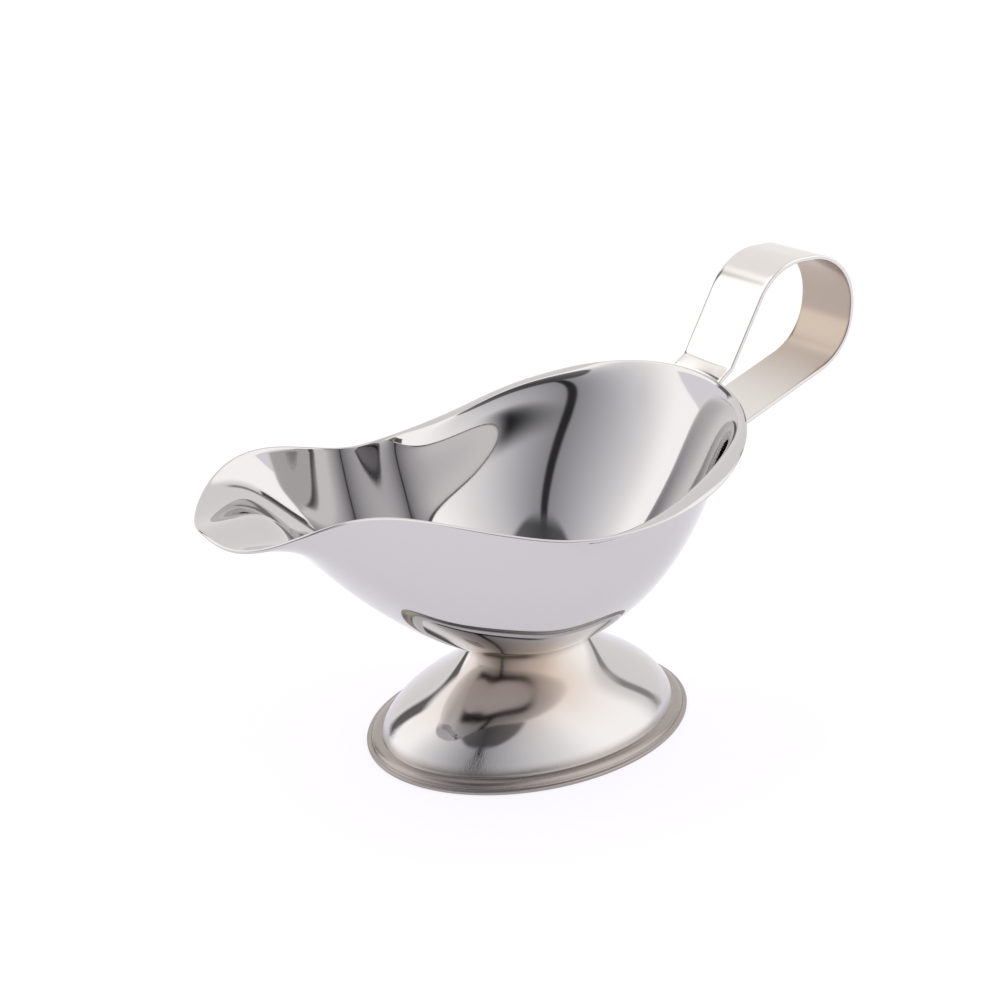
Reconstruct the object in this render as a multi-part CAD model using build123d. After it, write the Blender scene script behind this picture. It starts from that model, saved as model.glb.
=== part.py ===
from build123d import *
import math
import os
import numpy as np

# A pressed steel gravy boat: a bowl with a spout, an oval foot and a strap handle, welded together.
# Millimetres. X runs from the spout (-X) to the handle (+X), Z is up, and the boat is the same on both
# sides of Y = 0. The origin is the middle of the foot, on the surface that it stands on.

# ---- bowl ----
bowl_sheet = 1.0  # wall of the bowl
rim_half_width = 48.1  # widest half breadth of the rim
rim_height = 71.7  # lowest point of the rim, at the sides

# The rim's shape at eleven stations, evenly spaced along it from the spout's tip to the handle:
# place along X, share of the half width, and rise above the lowest point.
rim_x = (-88.9, -85.8, -72.5, -51.6, -31.0, -14.0, 6.0, 25.3, 41.8, 51.8, 54.8)
rim_breadth = (0.0, 0.268, 0.528, 0.597, 0.753, 0.931, 0.998, 0.950, 0.728, 0.390, 0.0)
rim_rise = (3.4, 3.2, 9.6, 9.0, 2.8, 0.0, 1.1, 6.2, 12.0, 16.2, 17.4)

# The wall's profile at four directions round the bowl, as the inner control points of a curve that
# runs from the land (0, 0) to the rim (1, 1). The directions are given as shares of the rim's length.
profile_places = (0.0, 0.30, 0.62, 1.0)
profile_tip = ((0.16, 0.0), (0.74, 0.76), (0.79, 1.06), (0.68, 1.07))
profile_cheek = ((0.16, 0.0), (0.56, 0.24), (0.79, 0.41), (0.94, 0.67))
profile_side = ((0.16, 0.0), (0.71, 0.38), (0.95, 0.56), (0.74, 1.12))
profile_back = ((0.17, 0.0), (0.48, 0.23), (0.76, 0.455), (0.92, 0.70))

# ---- foot ----
foot_sheet = 1.0  # wall of the foot
foot_height = 27.2  # from the table to the flat pad that the bowl sits on
neck_half_length = 17.6
neck_half_width = 12.0
shoulder_half_length = 45.8  # widest part of the flare, where the flange starts
shoulder_half_width = 34.2
shoulder_round = 2.7  # breadth of the rounded shoulder above the flange
shoulder_rise = 1.6  # its height
flange_breadth = 1.2
# The flare's profile from the neck (0, 0) to the crease above the shoulder (1, 1).
flare_profile = ((0.07, 0.39), (0.77, 0.48))

# ---- handle ----
strap_width = 19.4
strap_thickness = 1.2
crease_out = 3.5  # middle of the strap at its upper crease, out from the rim's back
crease_up = 2.2  # and up from it
crease_radius = 1.8
leg_slope = 63.0  # degrees, of the straight front leg
grip_rise = 28.8  # middle of the strap at the top of the loop, above the rim's back
grip_reach = 46.6  # middle of the strap at the loop's far side, out from the rim's back
grip_radius = 16.0
return_slope = 21.0  # degrees, of the leg that comes back to the bowl
return_drop = 19.3  # the middle of that leg where it meets the bowl, below the rim's back
pad_length_upper = 4.5  # height of the welded end under the rim
pad_length_lower = 11.0  # height of the welded end low on the wall
rim_clearance = 0.5  # from the rim's edge down to the upper pad

# ---- spot welds ----
nugget_radius = 1.5
nugget_depth = 0.45  # into each sheet
nugget_spread = 5.0  # from the middle of the strap to each of its nuggets
foot_nugget_inset = 5.0  # from the neck's edge in to the foot's nuggets

LEVELS = 19  # sections that the wall's surface is drawn through
ROUND = 48  # points of each section


def cosine_series(places, values):
    """Weights of the cosines that pass through the values and are level at both ends."""
    order = np.arange(len(values))
    return np.linalg.solve(np.cos(np.pi * np.outer(places, order)), np.array(values))


def sine_series(places, values):
    """Weights of the sines that pass through the values and are zero at both ends."""
    order = np.arange(1, len(values) - 1)
    return np.linalg.solve(np.sin(np.pi * np.outer(places[1:-1], order)), np.array(values[1:-1]))


def cosines(weights, turn):
    return float(np.dot(weights, np.cos(np.arange(len(weights)) * turn)))


def sines(weights, turn):
    return float(np.dot(weights, np.sin(np.arange(1, len(weights) + 1) * turn)))


def bezier(points, s):
    """The point of a Bezier curve at s, for any number of control points."""
    degree = len(points) - 1
    terms = [math.comb(degree, i) * (1 - s) ** (degree - i) * s**i for i in range(degree + 1)]
    return np.array(terms) @ np.array(points)


stations = np.linspace(0, 1, len(rim_x))
rim_x_weights = cosine_series(stations, rim_x)
rim_y_weights = sine_series(stations, [rim_half_width * share for share in rim_breadth])
rim_z_weights = cosine_series(stations, [rim_height + rise for rise in rim_rise])
profiles = (profile_tip, profile_cheek, profile_side, profile_back)
profile_weights = [
    [cosine_series(profile_places, [p[i][axis] for p in profiles]) for axis in (0, 1)]
    for i in range(len(profile_tip))
]


def rim_point(turn):
    """A point of the rim. The turn is 0 at the spout's tip and pi at the handle."""
    return np.array(
        [cosines(rim_x_weights, turn), sines(rim_y_weights, turn), cosines(rim_z_weights, turn)]
    )


def wall_point(turn, s):
    """A point of the bowl's outer face, from the land at s = 0 to the rim at s = 1."""
    rim = rim_point(turn)
    land = np.array(
        [
            -neck_half_length * math.cos(turn),
            neck_half_width * math.sin(turn),
            foot_height,
        ]
    )
    controls = [(0, 0)]
    controls += [(cosines(along, turn), cosines(up, turn)) for along, up in profile_weights]
    controls += [(1, 1)]
    out, up = bezier(controls, s)
    reach = rim - land
    return land + np.array([out * reach[0], out * reach[1], up * reach[2]])


def offset_point(turn, s, depth):
    """The wall's point moved in along its normal by depth, or out where depth is negative."""
    step = 1e-4
    low, high = max(s - step, 0), min(s + step, 1)
    across = wall_point(turn + step, s) - wall_point(turn - step, s)
    along = wall_point(turn, high) - wall_point(turn, low)
    normal = np.cross(across, along)
    return wall_point(turn, s) + depth * normal / np.linalg.norm(normal)


def wall_section(s, depth):
    """The closed curve round the wall at one level."""
    turns = [2 * math.pi * i / ROUND for i in range(ROUND)]
    points = [Vector(*offset_point(turn, s, depth)) for turn in turns]
    return Wire([Edge.make_spline(points, periodic=True, parameters=turns + [2 * math.pi])])


def loft_face(levels, depth):
    """The wall's face at one depth, with its lower and upper closed edges."""
    face = Shell.make_loft([wall_section(s, depth) for s in levels]).faces()[0]
    closed_edges = [edge for edge in face.edges() if edge.is_closed]
    lower, upper = sorted(closed_edges, key=lambda edge: edge.center().Z)
    return face, lower, upper


def closed_solid(faces):
    """A solid from faces that share their edges."""
    solid = Solid(Shell(faces))
    return -solid if solid.volume < 0 else solid


def wall_band(first, last, inner_depth, outer_depth):
    """A ring of sheet between two levels of the wall, and between two depths."""
    levels = np.linspace(first, last, 5)
    inner, inner_low, inner_high = loft_face(levels, inner_depth)
    outer, outer_low, outer_high = loft_face(levels, outer_depth)
    low = Face.make_surface_from_curves(inner_low, outer_low)
    high = Face.make_surface_from_curves(inner_high, outer_high)
    return closed_solid([inner, outer, low, high])


# Bowl: one sheet, pressed, with a flat land underneath and its edge cut square to the sheet.
all_levels = np.linspace(0, 1, LEVELS)
inside, inside_land, inside_rim = loft_face(all_levels, bowl_sheet)
outside, outside_land, outside_rim = loft_face(all_levels, 0.0)
rim_edge = Face.make_surface_from_curves(inside_rim, outside_rim)
bowl = closed_solid([inside, outside, rim_edge, Face(Wire([inside_land])), Face(Wire([outside_land]))])

# Foot: one sheet, pressed hollow, open below, with a flat pad on top.
crease_half_length = shoulder_half_length - shoulder_round
crease_half_width = shoulder_half_width - shoulder_round
crease_height = foot_sheet + shoulder_rise


def foot_profile(neck, crease, shoulder):
    """Points down the foot's outer face in one plane, as half breadth and height."""
    controls = [(0, 0), *flare_profile, (1, 1)]
    flare = [bezier(controls, u) for u in np.linspace(0, 1, 40)]
    points = [
        (neck + (crease - neck) * out, foot_height + (crease_height - foot_height) * down)
        for out, down in flare
    ]
    for angle in np.linspace(0, math.pi / 2, 20)[1:]:
        out = shoulder_round * math.sin(angle)
        points.append((crease + out, foot_sheet + shoulder_rise * math.cos(angle)))
    return np.array(points)


def half_breadth(points, depth, height):
    """Half breadth at one height of a profile moved in by depth."""
    run = np.gradient(points, axis=0)
    normal = np.stack([run[:, 1], -run[:, 0]], axis=1) / np.linalg.norm(run, axis=1)[:, None]
    moved = points + depth * normal
    return float(np.interp(-height, -moved[:, 1], moved[:, 0]))


along_length = foot_profile(neck_half_length, crease_half_length, shoulder_half_length)
along_width = foot_profile(neck_half_width, crease_half_width, shoulder_half_width)


def ellipse_stack(heights, depth):
    """A solid through the foot's ellipses at several heights, at one depth below its outer face."""
    sections = [
        Pos(0, 0, z) * Ellipse(half_breadth(along_length, depth, z), half_breadth(along_width, depth, z))
        for z in heights
    ]
    return loft(sections)


def ellipse_plate(half_length, half_width, bottom, top):
    return extrude(Pos(0, 0, bottom) * Ellipse(half_length, half_width), top - bottom)


pad_underside = foot_height - foot_sheet
hollow_crease = crease_height - foot_sheet / 2
spread = [0.0, 0.12, 0.28, 0.46, 0.64, 0.8, 0.92, 1.0]
flare_heights = [foot_height + (crease_height - foot_height) * share for share in spread]
hollow_heights = [pad_underside + (hollow_crease - pad_underside) * share for share in spread]
shoulder_heights = [foot_sheet + shoulder_rise * share for share in (1.0, 0.9, 0.7, 0.4, 0.0)]
flange = ellipse_plate(
    shoulder_half_length + flange_breadth, shoulder_half_width + flange_breadth, 0, foot_sheet
)
opening = ellipse_plate(shoulder_half_length - foot_sheet, shoulder_half_width - foot_sheet, 0, foot_sheet)
foot = flange + ellipse_stack(shoulder_heights, 0) + ellipse_stack(flare_heights, 0)
foot -= opening + ellipse_stack((hollow_crease, foot_sheet), foot_sheet)
foot -= ellipse_stack(hollow_heights, foot_sheet)

# Handle: one strap, bent to a loop, with its two ends formed to the bowl's wall and spot welded there.
rim_back = wall_point(math.pi, 1.0)
crease = (rim_back[0] + crease_out, rim_back[2] + crease_up)
tab_rise = crease_up + strap_thickness / 2  # the tab runs just under the rim's edge
tab_inner = (crease[0] - 2.5 * crease_out, crease[1] - 2.5 * tab_rise)
grip_top = rim_back[2] + grip_rise
grip_far = rim_back[0] + grip_reach
front_corner = (crease[0] + (grip_top - crease[1]) / math.tan(math.radians(leg_slope)), grip_top)


def back_level(height):
    """The wall's level at a height, at the back of the bowl."""
    levels = np.linspace(0, 1, 201)
    heights = [wall_point(math.pi, s)[2] for s in levels]
    return float(np.interp(height, heights, levels))


meet_height = rim_back[2] - return_drop
meet = wall_point(math.pi, back_level(meet_height))
return_rise = math.tan(math.radians(return_slope))
inner_end = (meet[0] - 8, meet[2] - 8 * return_rise)
far_low = (grip_far, meet[2] + (grip_far - meet[0]) * return_rise)
strap_line = FilletPolyline(
    tab_inner,
    crease,
    front_corner,
    (grip_far, grip_top),
    far_low,
    inner_end,
    radius=[crease_radius, grip_radius, grip_radius, grip_radius],
)
strap = extrude(Plane.XZ * trace(strap_line, strap_thickness), strap_width / 2, both=True)
strap_zone = Pos(rim_back[0], 0, rim_back[2]) * Box(60, strap_width, 120)


def formed_pad(lowest, highest):
    """A welded end: a piece of strap that follows the wall between two heights."""
    sunk = bowl_sheet / 2  # only so that the bowl's own face trims the pad
    return wall_band(back_level(lowest), back_level(highest), sunk, -strap_thickness) & strap_zone


upper_top = rim_back[2] - rim_clearance
lower_top = meet_height + strap_thickness / 2
strap += formed_pad(upper_top - pad_length_upper, upper_top)
strap += formed_pad(lower_top - pad_length_lower, lower_top)
handle = (strap - bowl).solids().sort_by(SortBy.VOLUME)[-1]

# Spot welds: nuggets of melted steel, half in each of the two sheets that they join.


def nugget(point, normal):
    """A nugget centred on the face between the two sheets."""
    place = Plane(origin=Vector(*point), z_dir=Vector(*normal))
    return place * Cylinder(nugget_radius, 2 * nugget_depth)


def pad_nuggets(height):
    """The two nuggets of a handle end, side by side at one height on the bowl's back."""
    s = back_level(height)
    nuggets = []
    for side in (-1, 1):
        turns = math.pi - side * np.linspace(0, 0.9, 91)
        breadths = [abs(wall_point(turn, s)[1]) for turn in turns]
        turn = float(np.interp(nugget_spread, breadths, turns))
        face = wall_point(turn, s)
        nuggets.append(nugget(face, offset_point(turn, s, 1.0) - face))
    return nuggets


upper_nuggets = pad_nuggets(upper_top - pad_length_upper / 2)
lower_nuggets = pad_nuggets(lower_top - pad_length_lower / 2)
foot_nuggets = []
for angle in (45, 135, 225, 315):
    along = (neck_half_length - foot_nugget_inset) * math.cos(math.radians(angle))
    across = (neck_half_width - foot_nugget_inset) * math.sin(math.radians(angle))
    foot_nuggets.append(nugget((along, across, foot_height), (0, 0, 1)))

for piece in upper_nuggets + lower_nuggets:
    bowl -= piece
    handle -= piece
for piece in foot_nuggets:
    bowl -= piece
    foot -= piece

nodes = {
    "bowl": bowl,
    "foot": foot,
    "handle": handle,
    "foot_spot_welds": Compound(foot_nuggets),
    "handle_upper_spot_welds": Compound(upper_nuggets),
    "handle_lower_spot_welds": Compound(lower_nuggets),
}
os.makedirs("parts", exist_ok=True)
for name, shape in nodes.items():
    export_step(shape, f"parts/{name}.step")
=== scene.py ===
import math

import bpy
import numpy as np
from mathutils import Matrix


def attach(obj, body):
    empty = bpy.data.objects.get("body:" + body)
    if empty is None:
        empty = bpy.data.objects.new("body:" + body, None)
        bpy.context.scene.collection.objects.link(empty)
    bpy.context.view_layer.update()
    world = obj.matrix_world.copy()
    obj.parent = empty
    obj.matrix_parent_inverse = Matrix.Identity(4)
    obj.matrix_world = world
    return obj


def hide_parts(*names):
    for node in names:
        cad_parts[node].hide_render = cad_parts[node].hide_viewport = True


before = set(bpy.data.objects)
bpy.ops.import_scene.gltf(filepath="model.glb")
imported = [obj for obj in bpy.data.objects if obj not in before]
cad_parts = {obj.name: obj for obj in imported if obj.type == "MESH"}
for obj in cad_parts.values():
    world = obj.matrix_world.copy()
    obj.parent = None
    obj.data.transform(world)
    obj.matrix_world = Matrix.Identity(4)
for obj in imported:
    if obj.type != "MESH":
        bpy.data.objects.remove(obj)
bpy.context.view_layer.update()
MM = 0.001

# ---- Bowl ----
# The bowl is one sheet of stainless steel, pressed to a pear shape with a duck-bill spout at its narrow
# end. Its rim flares outwards, its edge is ground round, and the whole of it is polished to a mirror.
bowl_sheet = 1.0
rim_half_width = 48.1
rim_height = 71.7
rim_x = (-88.9, -85.8, -72.5, -51.6, -31.0, -14.0, 6.0, 25.3, 41.8, 51.8, 54.8)
rim_breadth = (0.0, 0.268, 0.528, 0.597, 0.753, 0.931, 0.998, 0.950, 0.728, 0.390, 0.0)
rim_rise = (3.4, 3.2, 9.6, 9.0, 2.8, 0.0, 1.1, 6.2, 12.0, 16.2, 17.4)
land_half_length = 17.6
land_half_width = 12.0
land_height = 27.2
profile_places = (0.0, 0.30, 0.62, 1.0)
profile_tip = ((0.16, 0.0), (0.74, 0.76), (0.79, 1.06), (0.68, 1.07))
profile_cheek = ((0.16, 0.0), (0.56, 0.24), (0.79, 0.41), (0.94, 0.67))
profile_side = ((0.16, 0.0), (0.71, 0.38), (0.95, 0.56), (0.74, 1.12))
profile_back = ((0.17, 0.0), (0.48, 0.23), (0.76, 0.455), (0.92, 0.70))


def level_series(places, values):
    """Weights of the cosines that pass through the values and are level at both ends."""
    order = np.arange(len(values))
    return np.linalg.solve(np.cos(np.pi * np.outer(places, order)), np.array(values))


def even_turn_sum(weights, turn):
    return np.cos(np.multiply.outer(turn, np.arange(len(weights)))) @ weights


stations = np.linspace(0, 1, len(rim_x))
sine_order = np.arange(1, len(rim_x) - 1)
across_weights = np.linalg.solve(
    np.sin(np.pi * np.outer(stations[1:-1], sine_order)), rim_half_width * np.array(rim_breadth[1:-1])
)
along_weights = level_series(stations, rim_x)
rise_weights = level_series(stations, [rim_height + rise for rise in rim_rise])
profiles = (profile_tip, profile_cheek, profile_side, profile_back)
profile_weights = [
    [level_series(profile_places, [p[i][axis] for p in profiles]) for axis in (0, 1)]
    for i in range(len(profile_tip))
]


def wall(turn, level):
    """Points of the outer face. Turn 0 is the spout's tip and pi the back; level 0 the land and 1 the rim."""
    turn, level = np.broadcast_arrays(np.asarray(turn, float), np.asarray(level, float))
    rim = np.stack(
        [
            even_turn_sum(along_weights, turn),
            np.sin(np.multiply.outer(turn, sine_order)) @ across_weights,
            even_turn_sum(rise_weights, turn),
        ],
        axis=-1,
    )
    land = np.stack(
        [
            -land_half_length * np.cos(turn),
            land_half_width * np.sin(turn),
            np.full(turn.shape, land_height),
        ],
        axis=-1,
    )
    inner = [(even_turn_sum(out, turn), even_turn_sum(up, turn)) for out, up in profile_weights]
    shares = [(np.zeros(turn.shape), np.zeros(turn.shape)), *inner, (np.ones(turn.shape),) * 2]
    degree = len(shares) - 1
    terms = [math.comb(degree, i) * (1 - level) ** (degree - i) * level**i for i in range(degree + 1)]
    out = sum(term * share[0] for term, share in zip(terms, shares))
    up = sum(term * share[1] for term, share in zip(terms, shares))
    return land + (rim - land) * np.stack([out, out, up], axis=-1)


def sunk_wall(turn, level, depth):
    """Points of the wall moved in along its normal by depth, in millimetres."""
    turn, level = np.broadcast_arrays(np.asarray(turn, float), np.asarray(level, float))
    step = 1e-4
    across = wall(turn + step, level) - wall(turn - step, level)
    along = wall(turn, np.minimum(level + step, 1)) - wall(turn, np.maximum(level - step, 0))
    normal = np.cross(across, along)
    normal /= np.linalg.norm(normal, axis=-1)[..., None]
    return wall(turn, level) + np.asarray(depth)[..., None] * normal


columns = 320
face_rows = 84
edge_rows = 7
turns = np.linspace(0, 2 * math.pi, columns, endpoint=False)
edge_radius = bowl_sheet / 2
near_rim = 0.01
rim_run = np.linalg.norm(wall(turns, 1.0) - wall(turns, 1 - near_rim), axis=-1) / near_rim
edge_start = 1 - edge_radius / rim_run  # level where the rounding of the edge starts
shares = np.linspace(0, 1, face_rows) ** 0.92  # a little closer together towards the rim
rows = [sunk_wall(turns, share * edge_start, np.zeros(columns)) for share in shares]
for angle in np.linspace(0, math.pi, edge_rows + 2)[1:-1]:
    lift = edge_radius * (math.sin(angle) - 1)
    depth = edge_radius * (1 - math.cos(angle))
    rows.append(sunk_wall(turns, 1 + lift / rim_run, np.full(columns, depth)))
rows += [sunk_wall(turns, share * edge_start, np.full(columns, bowl_sheet)) for share in shares[::-1]]


def ring_mesh(name, rings, pole_first, pole_last):
    """A closed mesh through rings of points, with a pole in the middle of the first and the last ring."""
    count = len(rings[0])
    points = np.concatenate([[pole_first], *rings, [pole_last]]) * MM
    faces = []
    for i in range(count):
        j = (i + 1) % count
        faces.append((0, 1 + i, 1 + j))
        for row in range(len(rings) - 1):
            low, high = 1 + row * count, 1 + (row + 1) * count
            faces.append((low + i, high + i, high + j, low + j))
        last = 1 + (len(rings) - 1) * count
        faces.append((last + i, len(points) - 1, last + j))
    mesh = bpy.data.meshes.new(name)
    mesh.from_pydata(points.tolist(), [], faces)
    mesh.shade_smooth()
    return mesh


bowl = bpy.data.objects.new(
    "polished_bowl",
    ring_mesh("polished_bowl", rows, (0, 0, land_height), (0, 0, land_height + bowl_sheet)),
)
bpy.context.scene.collection.objects.link(bowl)


class Socket:
    """A node's output, so that sums on values are written as sums."""

    def __init__(self, sheet, socket):
        self.sheet, self.socket = sheet, socket

    def maths(self, operation, *values):
        return self.sheet.maths(operation, *values)

    def __add__(self, other):
        return self.maths("ADD", self, other)

    def __sub__(self, other):
        return self.maths("SUBTRACT", self, other)

    def __rsub__(self, other):
        return self.maths("SUBTRACT", other, self)

    def __mul__(self, other):
        return self.maths("MULTIPLY", self, other)

    def __truediv__(self, other):
        return self.maths("DIVIDE", self, other)

    def __abs__(self):
        return self.maths("ABSOLUTE", self)

    def fade(self, start, end):
        """0 where the value is at start and 1 where it is at end, with a soft passage between."""
        return self.sheet.node(
            "ShaderNodeMapRange",
            {"interpolation_type": "SMOOTHSTEP"},
            Value=self,
            From_Min=start,
            From_Max=end,
        )


class NodeSheet:
    """A node tree that is written node by node."""

    def __init__(self, tree):
        self.tree = tree

    def maths(self, operation, *values):
        return self.node("ShaderNodeMath", {"operation": operation}, *values)

    def node(self, kind, settings=None, *values, **named):
        """Adds a node; its sockets are filled in order by values, or by name. Returns its first output."""
        made = self.tree.nodes.new(kind)
        for name, value in (settings or {}).items():
            setattr(made, name, value)
        ready = [place for place in made.inputs if place.enabled]
        labels = {place.name: place for place in reversed(ready)}
        for key, value in [*enumerate(values), *named.items()]:
            place = ready[key] if isinstance(key, int) else labels[key.replace("_", " ")]
            if isinstance(value, Socket):
                self.tree.links.new(value.socket, place)
            else:
                place.default_value = value
        self.last = made
        first = next((output for output in made.outputs if output.enabled), None)
        return Socket(self, first) if first else None


def steel(name, colour, roughness, layers=(), grain=None):
    """A polished steel finish, with faint waves of the pressed sheet and smudges.

    Each layer is a colour, a roughness and a function that gives the mask it lies on. The grain is a
    function that gives the height of the brushing lines.
    """
    material = bpy.data.materials.new(name)
    material.use_nodes = True
    material.node_tree.nodes.clear()
    sheet = NodeSheet(material.node_tree)
    sheet.node("ShaderNodeTexCoord")
    place = Socket(sheet, sheet.last.outputs["Object"])
    waves = sheet.node("ShaderNodeTexNoise", None, Vector=place, Scale=55.0, Detail=1.0)
    smudge = sheet.node("ShaderNodeTexNoise", None, Vector=place, Scale=180.0, Detail=4.0)
    bump = sheet.node("ShaderNodeBump", None, Strength=0.05, Distance=0.001, Height=waves)
    if grain:
        lines = grain(sheet, place)
        bump = sheet.node("ShaderNodeBump", None, Strength=0.3, Distance=0.0001, Height=lines, Normal=bump)
    surface, rough = (*colour, 1), (smudge - 0.5) * 0.04 + roughness
    for layer_colour, layer_roughness, mask_of in layers:
        mask = mask_of(sheet, place)
        surface = sheet.node(
            "ShaderNodeMix", {"data_type": "RGBA"}, mask, A=surface, B=(*layer_colour, 1)
        )
        rough = rough + mask * (layer_roughness - rough)
    sheet.node(
        "ShaderNodeBsdfPrincipled", None, Base_Color=surface, Metallic=1.0, Roughness=rough, Normal=bump
    )
    shader = Socket(sheet, sheet.last.outputs["BSDF"])
    sheet.node("ShaderNodeOutputMaterial", None, shader)
    return material


bowl_colour = (0.58, 0.57, 0.575)
bowl.data.materials.append(steel("mirror_steel", bowl_colour, 0.05))
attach(bowl, "root")
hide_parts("bowl")

# ---- Foot ----
# The foot is a second sheet, drawn to a hollow oval bell with a small rounded shoulder and a thin flange
# that stands on the table. Its flat top is spot welded under the bowl. It is polished, and brushed
# round the shoulder.
foot_sheet = 1.0
foot_height = 27.2
neck = (17.6, 12.0)
shoulder = (45.8, 34.2)
shoulder_round = 2.7
shoulder_rise = 1.6
flange_breadth = 1.2
flare_profile = ((0.0, 0.0), (0.07, 0.39), (0.77, 0.48), (1.0, 1.0))
corner = 0.25  # radius of the flange's corners
hollow_foot = 1.6  # height at which the hollow starts to follow the bell


def foot_outline(side):
    """Half breadth and height down the outside of the bell, along its length (0) or its width (1)."""
    crease = shoulder[side] - shoulder_round
    crease_height = foot_sheet + shoulder_rise
    u = np.linspace(0, 1, 64)[:, None]
    a, b, c, d = (np.array(p) for p in flare_profile)
    share = (1 - u) ** 3 * a + 3 * u * (1 - u) ** 2 * b + 3 * u**2 * (1 - u) * c + u**3 * d
    flare = [neck[side], foot_height] + share * [crease - neck[side], crease_height - foot_height]
    angle = np.linspace(0, math.pi / 2, 14)[1:, None]
    bead = [crease, foot_sheet] + np.hstack(
        [shoulder_round * np.sin(angle), shoulder_rise * np.cos(angle)]
    )
    return np.concatenate([flare, bead])


def foot_section(side):
    """The sheet's whole section, from the middle of its top round the flange to the middle below it."""
    outline = foot_outline(side)
    run = np.gradient(outline, axis=0)
    normal = np.stack([run[:, 1], -run[:, 0]], axis=1) / np.linalg.norm(run, axis=1)[:, None]
    moved = outline + foot_sheet * normal
    heights = np.linspace(hollow_foot, foot_height - foot_sheet, 50)
    hollow = np.stack([np.interp(-heights, -moved[:, 1], moved[:, 0]), heights], axis=1)
    mouth, rim = shoulder[side] - foot_sheet, shoulder[side] + flange_breadth
    top = [(0, foot_height), (neck[side] - 2.0, foot_height), (neck[side] - 0.5, foot_height)]
    soft = 0.29 * corner
    edge = [
        (rim - 2 * corner, foot_sheet),
        (rim - corner, foot_sheet),
        (rim - soft, foot_sheet - soft),
        (rim, foot_sheet - corner),
        (rim, corner),
        (rim - soft, soft),
        (rim - corner, 0),
        (rim - 2 * corner, 0),
        (mouth + corner, 0),
        (mouth, corner),
        (mouth - 0.1, 0.8),
    ]
    below = [(neck[side] - 3.0, foot_height - foot_sheet), (0, foot_height - foot_sheet)]
    return np.concatenate([top, outline, edge, hollow, below])


lengthwise, widthwise = foot_section(0), foot_section(1)
section = bpy.data.meshes.new("foot_section")
section.from_pydata(
    [(x * MM, y * MM, z * MM) for (x, z), (y, _) in zip(lengthwise, widthwise)],
    [(i, i + 1) for i in range(len(lengthwise) - 1)],
    [],
)
foot = bpy.data.objects.new("polished_foot", section)
bpy.context.scene.collection.objects.link(foot)


def new_tree(name, inputs):
    """A Geometry Nodes tree with a geometry input, the named inputs and a geometry output."""
    tree = bpy.data.node_groups.new(name, "GeometryNodeTree")
    tree.interface.new_socket("Geometry", in_out="OUTPUT", socket_type="NodeSocketGeometry")
    for label, kind in {"Geometry": "NodeSocketGeometry", **inputs}.items():
        tree.interface.new_socket(label, in_out="INPUT", socket_type=kind)
    sheet = NodeSheet(tree)
    sheet.node("NodeGroupInput")
    entry = sheet.last
    return sheet, {label: Socket(sheet, entry.outputs[label]) for label in ("Geometry", *inputs)}


def grown(piece, sheet, values):
    """The piece's plain mesh, after the tree has been run on it with the values."""
    modifier = piece.modifiers.new(sheet.tree.name, "NODES")
    modifier.node_group = sheet.tree
    for entry in sheet.tree.interface.items_tree:
        if entry.item_type == "SOCKET" and entry.in_out == "INPUT" and entry.name in values:
            modifier[entry.identifier] = values[entry.name]
    bpy.context.view_layer.update()
    ready = piece.evaluated_get(bpy.context.evaluated_depsgraph_get())
    mesh = bpy.data.meshes.new_from_object(ready)
    mesh.name = piece.name
    piece.modifiers.remove(modifier)
    piece.data = mesh
    return mesh


def foot_places(sheet, place):
    """Bearing round the foot and height above the table, in millimetres."""
    sheet.node("ShaderNodeSeparateXYZ", None, place)
    x, y, z = (Socket(sheet, output) for output in sheet.last.outputs)
    return sheet.maths("ARCTAN2", y / (shoulder[1] * MM), x / (shoulder[0] * MM)), z / MM


def heat_tint_and_painted_reflection(sheet, place):
    """Straw-brown tint, strongest at the neck: heat tint left by the welding, plus a painted reflection, as
    the tint is laid only on the side that faces the camera.
    """
    bearing, z = foot_places(sheet, place)
    cloud = sheet.node("ShaderNodeTexNoise", None, Vector=place, Scale=70.0, Detail=2.0)
    # The side that faces the camera, where the painted reflection lies.
    side = 1 - abs(bearing + 2.2).fade(0.25, 1.3)
    return z.fade(7.0, 21.0) * (cloud * 0.8 + 0.6) * side


def painted_neck_shade(sheet, place):
    """Painted shade: a dark ring close under the bowl, where the bowl shades the top of the neck."""
    _, z = foot_places(sheet, place)
    return z.fade(23.5, 27.0) * 0.85


def brushed(sheet, place):
    """The flange and the rounded shoulder."""
    _, z = foot_places(sheet, place)
    return 1 - z.fade(2.6, 5.5)


def brushing_lines(sheet, place):
    """Lines that run down the foot, deepest round the shoulder."""
    bearing, z = foot_places(sheet, place)
    row = sheet.node("ShaderNodeCombineXYZ", None, bearing * 60.0, z * 0.12, 0.0)
    lines = sheet.node("ShaderNodeTexNoise", None, Vector=row, Scale=3.0, Detail=3.0)
    return lines * (1 - z.fade(3.0, 11.0))


foot_colour = (0.58, 0.57, 0.57)
# Brown: weld heat tint at the neck, plus a painted reflection on the side facing the camera.
tint_and_reflection_colour = (0.44, 0.36, 0.30)
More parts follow.
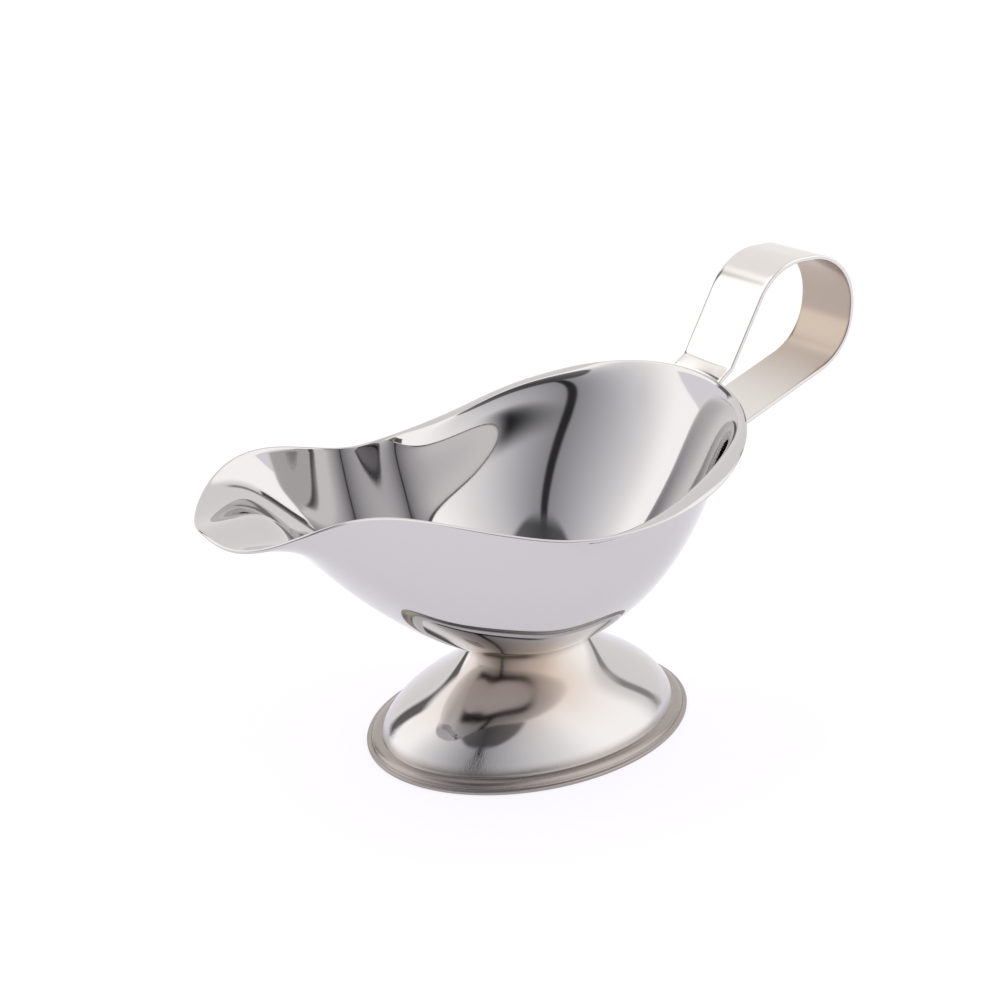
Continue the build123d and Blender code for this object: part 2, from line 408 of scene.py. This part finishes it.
# Painted shade colour for the top of the neck, under the bowl.
neck_shade_colour = (0.22, 0.17, 0.13)
brushed_colour = (0.36, 0.33, 0.31)
foot_finish = steel(
    "mirror_steel_foot",
    foot_colour,
    0.06,
    layers=(
        # Weld heat tint and a painted reflection, on the side facing the camera.
        (tint_and_reflection_colour, 0.14, heat_tint_and_painted_reflection),
        # Painted shade at the top of the neck, under the bowl.
        (neck_shade_colour, 0.25, painted_neck_shade),
        (brushed_colour, 0.26, brushed),
    ),
    grain=brushing_lines,
)
sheet, given = new_tree("turned_on_an_oval", {"Rows": "NodeSocketInt", "Columns": "NodeSocketInt"})
sheet.node(
    "GeometryNodeMeshGrid", None, Vertices_X=given["Columns"] + 1, Vertices_Y=given["Rows"]
)
grid = Socket(sheet, sheet.last.outputs["Mesh"])
index = sheet.node("GeometryNodeInputIndex")
column = sheet.maths("FLOOR", (index + 0.5) * sheet.maths("DIVIDE", 1.0, given["Rows"]))
row = index - column * given["Rows"]
place = sheet.node("GeometryNodeInputPosition")
point = sheet.node(
    "GeometryNodeSampleIndex",
    {"data_type": "FLOAT_VECTOR"},
    Geometry=given["Geometry"],
    Value=place,
    Index=row,
)
sheet.node("ShaderNodeSeparateXYZ", None, point)
half_length, half_width, height = (Socket(sheet, output) for output in sheet.last.outputs)
angle = column * sheet.maths("DIVIDE", 2 * math.pi, given["Columns"])
spun = sheet.node(
    "ShaderNodeCombineXYZ",
    None,
    half_length * sheet.maths("COSINE", angle),
    half_width * sheet.maths("SINE", angle),
    height,
)
shaped = sheet.node("GeometryNodeSetPosition", None, Geometry=grid, Position=spun)
closed = sheet.node("GeometryNodeMergeByDistance", None, Geometry=shaped, Distance=2e-6)
turned = sheet.node("GeometryNodeFlipFaces", None, closed)
smooth = sheet.node("GeometryNodeSetShadeSmooth", None, turned)
real = sheet.node("GeometryNodeRealizeInstances", None, smooth)
finished = sheet.node("GeometryNodeSetMaterial", None, real, Material=foot_finish)
sheet.node("NodeGroupOutput", None, finished)
grown(foot, sheet, {"Rows": len(lengthwise), "Columns": 256})
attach(foot, "root")
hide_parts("foot")

# ---- Foot spot welds ----
# Four nuggets of melted steel between the bowl's land and the foot's pad. They are sealed in between
# the two sheets.
weld_finish = steel("weld_steel", (0.5, 0.48, 0.45), 0.35)
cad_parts["foot_spot_welds"].data.materials.clear()
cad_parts["foot_spot_welds"].data.materials.append(weld_finish)

# ---- Handle ----
# The handle is one steel strap, bent to an upright loop. Its two ends are formed to the bowl: the upper
# one runs under the flared rim, the lower one turns down along the wall.
strap_width = 19.4
strap_thickness = 1.2
crease_out = 3.5
crease_up = 2.2
crease_radius = 1.8
leg_slope = 63.0
grip_rise = 28.8
grip_reach = 46.6
grip_radius = 16.0
return_slope = 21.0
return_drop = 19.3
pad_length_upper = 4.5
pad_length_lower = 11.0
rim_clearance = 0.5
heel_radius = 1.6  # bend where the lower end turns down along the wall
rim_back = wall(math.pi, 1.0)
levels = np.linspace(0, 1, 401)


def back_wall(height, breadth):
    """How far out the wall's outer face is at a height, at a breadth off the middle of the back."""
    places = []
    for turn in math.pi - np.linspace(0, 0.8, 41):
        line = wall(turn, levels)
        places.append([np.interp(height, line[:, 2], line[:, i]) for i in (1, 0)])
    breadths, outs = np.array(places).T
    return float(np.interp(breadth, breadths, outs))


def pad_point(height):
    """The middle of the strap where it lies on the wall at a height, and how the wall curves there."""
    s = float(np.interp(height, wall(math.pi, levels)[:, 2], levels))
    point = sunk_wall(math.pi, s, -strap_thickness / 2)
    half = strap_width / 2
    curve = (back_wall(height, 0) - back_wall(height, half)) / half**2
    return [point[0], point[2], 0.0, curve]


crease = (rim_back[0] + crease_out, rim_back[2] + crease_up)
grip_top = rim_back[2] + grip_rise
grip_far = rim_back[0] + grip_reach
meet_height = rim_back[2] - return_drop
meet = back_wall(meet_height, 0)
return_rise = math.tan(math.radians(return_slope))
upper_top = rim_back[2] - rim_clearance
lower_bottom = meet_height + strap_thickness / 2 - pad_length_lower
heel = pad_point(meet_height)
heel[2] = heel_radius
route = [pad_point(z) for z in np.linspace(upper_top - pad_length_upper, upper_top, 5)]
route += [
    (*crease, crease_radius, 0.0),
    (crease[0] + (grip_top - crease[1]) / math.tan(math.radians(leg_slope)), grip_top, grip_radius, 0.0),
    (grip_far, grip_top, grip_radius, 0.0),
    (grip_far, meet_height + (grip_far - meet) * return_rise, grip_radius, 0.0),
    (heel[0] + 5, heel[1] + 5 * return_rise, 0.0, 0.0),
    heel,
]
route += [pad_point(z) for z in np.linspace(meet_height - 2.5, lower_bottom, 5)]
half, thin, turn_radius = strap_width / 2, strap_thickness / 2, 0.3
section_points = []
for side_x, side_y, start in ((1, 1, 0), (-1, 1, 90), (-1, -1, 180), (1, -1, 270)):
    for angle in np.radians(start + np.array([0, 30, 60, 90])):
        section_points.append(
            (
                side_x * (half - turn_radius) + turn_radius * math.cos(angle),
                side_y * (thin - turn_radius) + turn_radius * math.sin(angle),
            )
        )
    if start in (0, 180):
        for share in np.linspace(1, -1, 24)[1:-1]:
            section_points.append((side_x * share * (half - 2 * turn_radius), side_y * thin))


def line_curve(name, points, closed):
    """A curve of straight runs through points in millimetres."""
    data = bpy.data.curves.new(name, "CURVE")
    data.dimensions = "3D"
    spline = data.splines.new("POLY")
    spline.points.add(len(points) - 1)
    for place, (x, y, z) in zip(spline.points, points):
        place.co = (x * MM, y * MM, z * MM, 1)
    spline.use_cyclic_u = closed
    made = bpy.data.objects.new(name, data)
    bpy.context.scene.collection.objects.link(made)
    return made


strap_section = line_curve("strap_section", [(x, y, 0) for x, y in section_points], True)
strap = bpy.data.meshes.new("strap_route")
strap.from_pydata(
    [(x * MM, 0, z * MM) for x, z, _, _ in route], [(i, i + 1) for i in range(len(route) - 1)], []
)
for label, column, scale in (("bend", 2, MM), ("form", 3, 1 / MM)):
    values = strap.attributes.new(label, "FLOAT", "POINT")
    values.data.foreach_set("value", [stop[column] * scale for stop in route])
handle = bpy.data.objects.new("strap_handle", strap)
bpy.context.scene.collection.objects.link(handle)

sheet, given = new_tree(
    "strap_on_a_route",
    {"Section": "NodeSocketObject", "Spacing": "NodeSocketFloat", "Middle": "NodeSocketVector"},
)
line = sheet.node("GeometryNodeMeshToCurve", None, given["Geometry"])
bend = sheet.node("GeometryNodeInputNamedAttribute", {"data_type": "FLOAT"}, "bend")
bent = sheet.node(
    "GeometryNodeFilletCurve", {"mode": "POLY"}, Curve=line, Radius=bend, Count=24, Limit_Radius=True
)
even = sheet.node(
    "GeometryNodeResampleCurve", {"mode": "LENGTH"}, Curve=bent, Length=given["Spacing"]
)
sheet.node("GeometryNodeObjectInfo", None, Object=given["Section"])
outline = Socket(sheet, sheet.last.outputs["Geometry"])
swept = sheet.node("GeometryNodeCurveToMesh", None, Curve=even, Profile_Curve=outline, Fill_Caps=True)
place = sheet.node("GeometryNodeInputPosition")
sheet.node("ShaderNodeSeparateXYZ", None, place)
across = Socket(sheet, sheet.last.outputs["Y"])
form = sheet.node("GeometryNodeInputNamedAttribute", {"data_type": "FLOAT"}, "form")
shift = sheet.node("ShaderNodeCombineXYZ", None, form * across * across * -1.0, 0.0, 0.0)
formed = sheet.node("GeometryNodeSetPosition", None, Geometry=swept, Offset=shift)
inward = sheet.node("ShaderNodeVectorMath", {"operation": "SUBTRACT"}, given["Middle"], place)
facing = sheet.node("GeometryNodeInputNormal")
sheet.node("ShaderNodeVectorMath", {"operation": "DOT_PRODUCT"}, inward, facing)
inner = sheet.maths("GREATER_THAN", Socket(sheet, sheet.last.outputs["Value"]), 0.0)
marked = sheet.node(
    "GeometryNodeStoreNamedAttribute",
    {"data_type": "FLOAT", "domain": "FACE"},
    Geometry=formed,
    Name="inner",
    Value=inner,
)
smooth = sheet.node("GeometryNodeSetShadeSmooth", None, marked)
real = sheet.node("GeometryNodeRealizeInstances", None, smooth)


def inner_bend(sheet, place):
    """The inside of the loop, darker, browner and rougher towards the far bend."""
    sheet.node("ShaderNodeAttribute", {"attribute_name": "inner"})
    inside = Socket(sheet, sheet.last.outputs["Fac"])
    sheet.node("ShaderNodeSeparateXYZ", None, place)
    x = Socket(sheet, sheet.last.outputs["X"])
    return inside * x.fade(rim_back[0] * MM + 0.012, grip_far * MM)


strap_colour = (0.72, 0.70, 0.68)
# Darker brown for the inside of the loop, growing towards the far bend.
inner_loop_colour = (0.44, 0.37, 0.31)
handle_finish = steel("satin_steel", strap_colour, 0.13, layers=((inner_loop_colour, 0.24, inner_bend),))
finished = sheet.node("GeometryNodeSetMaterial", None, real, Material=handle_finish)
sheet.node("NodeGroupOutput", None, finished)
loop_middle = ((crease[0] + grip_far) / 2 * MM, 0, (grip_top - grip_radius) * MM)
grown(handle, sheet, {"Section": strap_section, "Spacing": 0.6 * MM, "Middle": loop_middle})
bpy.data.objects.remove(strap_section)
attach(handle, "root")
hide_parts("handle")

# ---- Handle spot welds ----
# Two nuggets join each end of the strap to the bowl's wall, sealed in between the sheets.
for node in ("handle_upper_spot_welds", "handle_lower_spot_welds"):
    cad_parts[node].data.materials.clear()
    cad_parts[node].data.materials.append(weld_finish)

# ---- Table, lights and camera ----
# The boat stands on a white table. The light comes from all round it: bright to the left and right of
# the camera, dimmer behind the camera, and with dark gaps where one screen ends and the next begins.
floor_mesh = bpy.data.meshes.new("floor")
floor_mesh.from_pydata([(-3, -3, 0), (3, -3, 0), (3, 3, 0), (-3, 3, 0)], [], [(0, 1, 2, 3)])
floor = bpy.data.objects.new("floor", floor_mesh)
bpy.context.scene.collection.objects.link(floor)
paper = bpy.data.materials.new("white_paper")
paper.use_nodes = True
paper.node_tree.nodes.clear()
sheet = NodeSheet(paper.node_tree)
glow = sheet.node("ShaderNodeEmission", None, Color=(1.0, 0.985, 1.04, 1), Strength=0.75)
matte = sheet.node("ShaderNodeBsdfDiffuse", None, Color=(0.32, 0.315, 0.33, 1))
both = sheet.node("ShaderNodeAddShader", None, glow, matte)
sheet.node("ShaderNodeOutputMaterial", None, both)
floor_mesh.materials.append(paper)

world = bpy.data.worlds.new("studio")
bpy.context.scene.world = world
world.use_nodes = True
world.node_tree.nodes.clear()
sheet = NodeSheet(world.node_tree)
sheet.node("ShaderNodeTexCoord")
sheet.node("ShaderNodeSeparateXYZ", None, Socket(sheet, sheet.last.outputs["Generated"]))
east, north, upward = (Socket(sheet, output) for output in sheet.last.outputs)
height = sheet.maths("ARCSINE", upward) * (180 / math.pi)


def bearing_from(direction):
    """Degrees round the room from a bearing, 0 to 180 on either side."""
    c, s = math.cos(math.radians(direction)), math.sin(math.radians(direction))
    return sheet.maths("ARCTAN2", north * c - east * s, east * c + north * s) * (180 / math.pi)


# The light is dimmest behind the camera, at a dark slit, and grows to both sides of it up to two soft
# lights. It also falls off overhead and close to the ground, on the camera's side.
slit_bearing, right_bearing, left_bearing = -135.0, -3.0, 110.0
slit = abs(bearing_from(slit_bearing))
room = sheet.maths("MINIMUM", slit * 0.0133, 0.69) + 0.36
lights = slit.fade(48, 85) * (1 - slit.fade(112, 128)) * 0.5
near_slit = (1 - slit.fade(1.6, 3.6)) * (1 - height.fade(46, 56)) * 0.9
ceiling_gap = (1 - (slit - (height - 45) * 2.4).fade(-4, 6)) * height.fade(46, 54) * 0.75
ground_gap = (1 - height.fade(6, 16)) * (1 - slit.fade(34, 60)) * 0.97
# The white sheet behind the boat ends in a dark gap on each side.
right_gap = (1 - abs(bearing_from(right_bearing)).fade(1.5, 4.5)) * (1 - height.fade(30, 40)) * 0.65
left_gap = (1 - abs(bearing_from(left_bearing)).fade(4.0, 9.0)) * (1 - height.fade(33, 42)) * 0.88
brightness = room + lights
for gap in (near_slit, ceiling_gap, ground_gap, right_gap, left_gap):
    brightness = brightness * (1 - gap)
tint = sheet.node(
    "ShaderNodeMix",
    {"data_type": "RGBA"},
    slit.fade(10, 90),
    A=(0.97, 0.96, 1.0, 1),
    B=(1.0, 0.975, 0.96, 1),
)
sky = sheet.node("ShaderNodeBackground", None, Color=tint, Strength=brightness)
sheet.node("ShaderNodeOutputWorld", None, sky)

turn, tilt, roll = math.radians(-32.555), math.radians(22.16), math.radians(-0.568)
distance, slide_x, slide_y = 411.99, -7.7, 59.313
right = np.array([math.cos(turn), math.sin(turn), 0])
ahead = np.array(
    [-math.sin(turn) * math.cos(tilt), math.cos(turn) * math.cos(tilt), -math.sin(tilt)]
)
up = np.array([-math.sin(turn) * math.sin(tilt), math.cos(turn) * math.sin(tilt), math.cos(tilt)])
camera_data = bpy.data.cameras.new("camera")
camera_data.lens = 54
camera_data.sensor_width = 36
camera = bpy.data.objects.new("camera", camera_data)
bpy.context.scene.collection.objects.link(camera)
camera.location = (slide_x * right + slide_y * up - distance * ahead) * MM
camera_x = right * math.cos(roll) + up * math.sin(roll)
camera_y = -right * math.sin(roll) + up * math.cos(roll)
camera.rotation_mode = "QUATERNION"
axes = np.stack([camera_x, camera_y, -ahead], axis=1)
camera.rotation_quaternion = Matrix(axes.tolist()).to_quaternion()
camera_data.clip_start = 0.01
bpy.context.scene.camera = camera
bpy.context.scene.view_settings.view_transform = "Standard"
